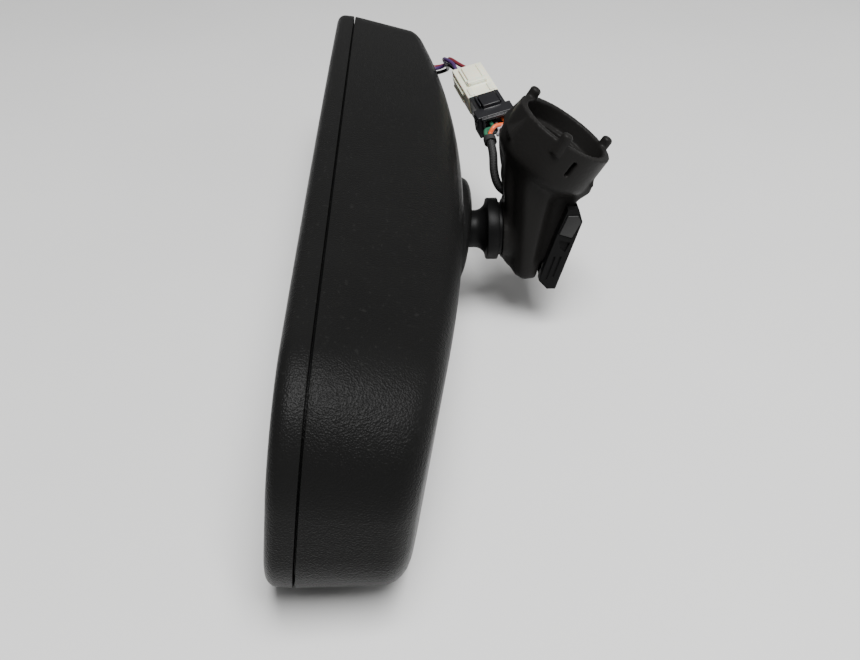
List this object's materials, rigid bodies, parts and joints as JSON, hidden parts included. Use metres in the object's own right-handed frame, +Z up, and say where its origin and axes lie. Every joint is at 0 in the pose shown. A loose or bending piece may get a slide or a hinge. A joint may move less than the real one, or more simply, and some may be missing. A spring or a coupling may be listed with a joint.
{
  "type": "interior rearview mirror",
  "caption": "Wide self-dimming interior rearview mirror on a ball joint, with a windshield bracket that has a round tilted seat, and a short wiring lead.",
  "frame": {"origin": "centre of the mouth of the bracket's round windshield seat", "axes": "+X along the head's long side, -Y towards the driver (the glass side), +Y towards the windshield, +Z up; the seat's axis leans 31 degrees from +Z towards +Y"},
  "size_m": [0.255, 0.0982, 0.0748],
  "materials": {
    "moulded_black": "fine leather-like moulded grain, semi-matt",
    "bracket_black": "smooth moulded, satin",
    "cover_black": "smooth moulded, slightly glossy",
    "stud_black": "black coated zinc, satin",
    "mirror_glass": "clear polished",
    "mirror_coat": "silvered",
    "seal": "matt",
    "foam": "open foam, matt",
    "carrier": "moulded",
    "board": "solder mask, satin",
    "chip": "moulded",
    "cream": "cream nylon, satin",
    "steel": "zinc plated",
    "zinc": "die cast",
    "nylon": "natural, self-lubricating",
    "sensor": "tinted clear",
    "lens": "clear",
    "connector_black": "nylon, satin",
    "brass": "tinned",
    "wire_purple": "PVC insulation",
    "wire_red": "PVC insulation",
    "wire_black": "PVC insulation",
    "wire_white": "PVC insulation",
    "wire_orange": "PVC insulation",
    "wire_green": "PVC insulation"
  },
  "bodies": {
    "bracket": {"mount_bracket": "bracket_black", "ball_stud": "stud_black", "stud_washer": "steel", "stud_nut": "steel", "seat_spring": "steel", "foot_cover": "cover_black", "cover_clips": "cover_black", "foot_screws": "steel", "sleeve_long": "wire_black", "sleeve_short": "wire_black"},
    "yaw_liner": {"liner_rear": "nylon", "sleeve_tape": "wire_black", "loom_wire_white": "wire_white", "loom_wire_orange": "wire_orange", "loom_wire_green": "wire_green"},
    "roll_liner": {"liner_front": "nylon", "dark_connector": "connector_black", "pale_connector": "cream", "terminal_pins": "brass", "lead_wire_purple": "wire_purple", "lead_wire_red": "wire_red", "lead_wire_black": "wire_black"},
    "head": {"bezel": "moulded_black", "rear_housing": "moulded_black", "front_glass": "mirror_glass", "rear_glass": "mirror_coat", "glass_seal": "seal", "foam_pad": "foam", "carrier_plate": "carrier", "circuit_board": "board", "board_chips": "chip", "board_header": "cream", "board_screws": "steel", "glare_sensor": "sensor", "ambient_lens": "lens", "socket_plate": "zinc", "pressure_cap": "nylon", "wave_spring": "steel", "spring_housing": "zinc", "socket_screws": "steel", "lead_grommet": "seal", "inner_lead": "wire_black"}
  },
  "joints": [
    {"name": "head_turn", "type": "hinge", "parent": "bracket", "child": "yaw_liner", "pos_m": [0, -0.0405, -0.0344], "axis": [0, 0, 1], "range_deg": [-15, 15], "deforming": ["sleeve_long", "sleeve_short"]},
    {"name": "head_roll", "type": "hinge", "parent": "yaw_liner", "child": "roll_liner", "pos_m": [0, -0.0405, -0.0344], "axis": [0, 1, 0], "range_deg": [-8, 8], "deforming": ["loom_wire_white", "loom_wire_orange", "loom_wire_green"]},
    {"name": "head_tilt", "type": "hinge", "parent": "roll_liner", "child": "head", "pos_m": [0, -0.0405, -0.0344], "axis": [1, 0, 0], "range_deg": [-6, 18], "deforming": ["lead_wire_purple", "lead_wire_red", "lead_wire_black"]}
  ]
}
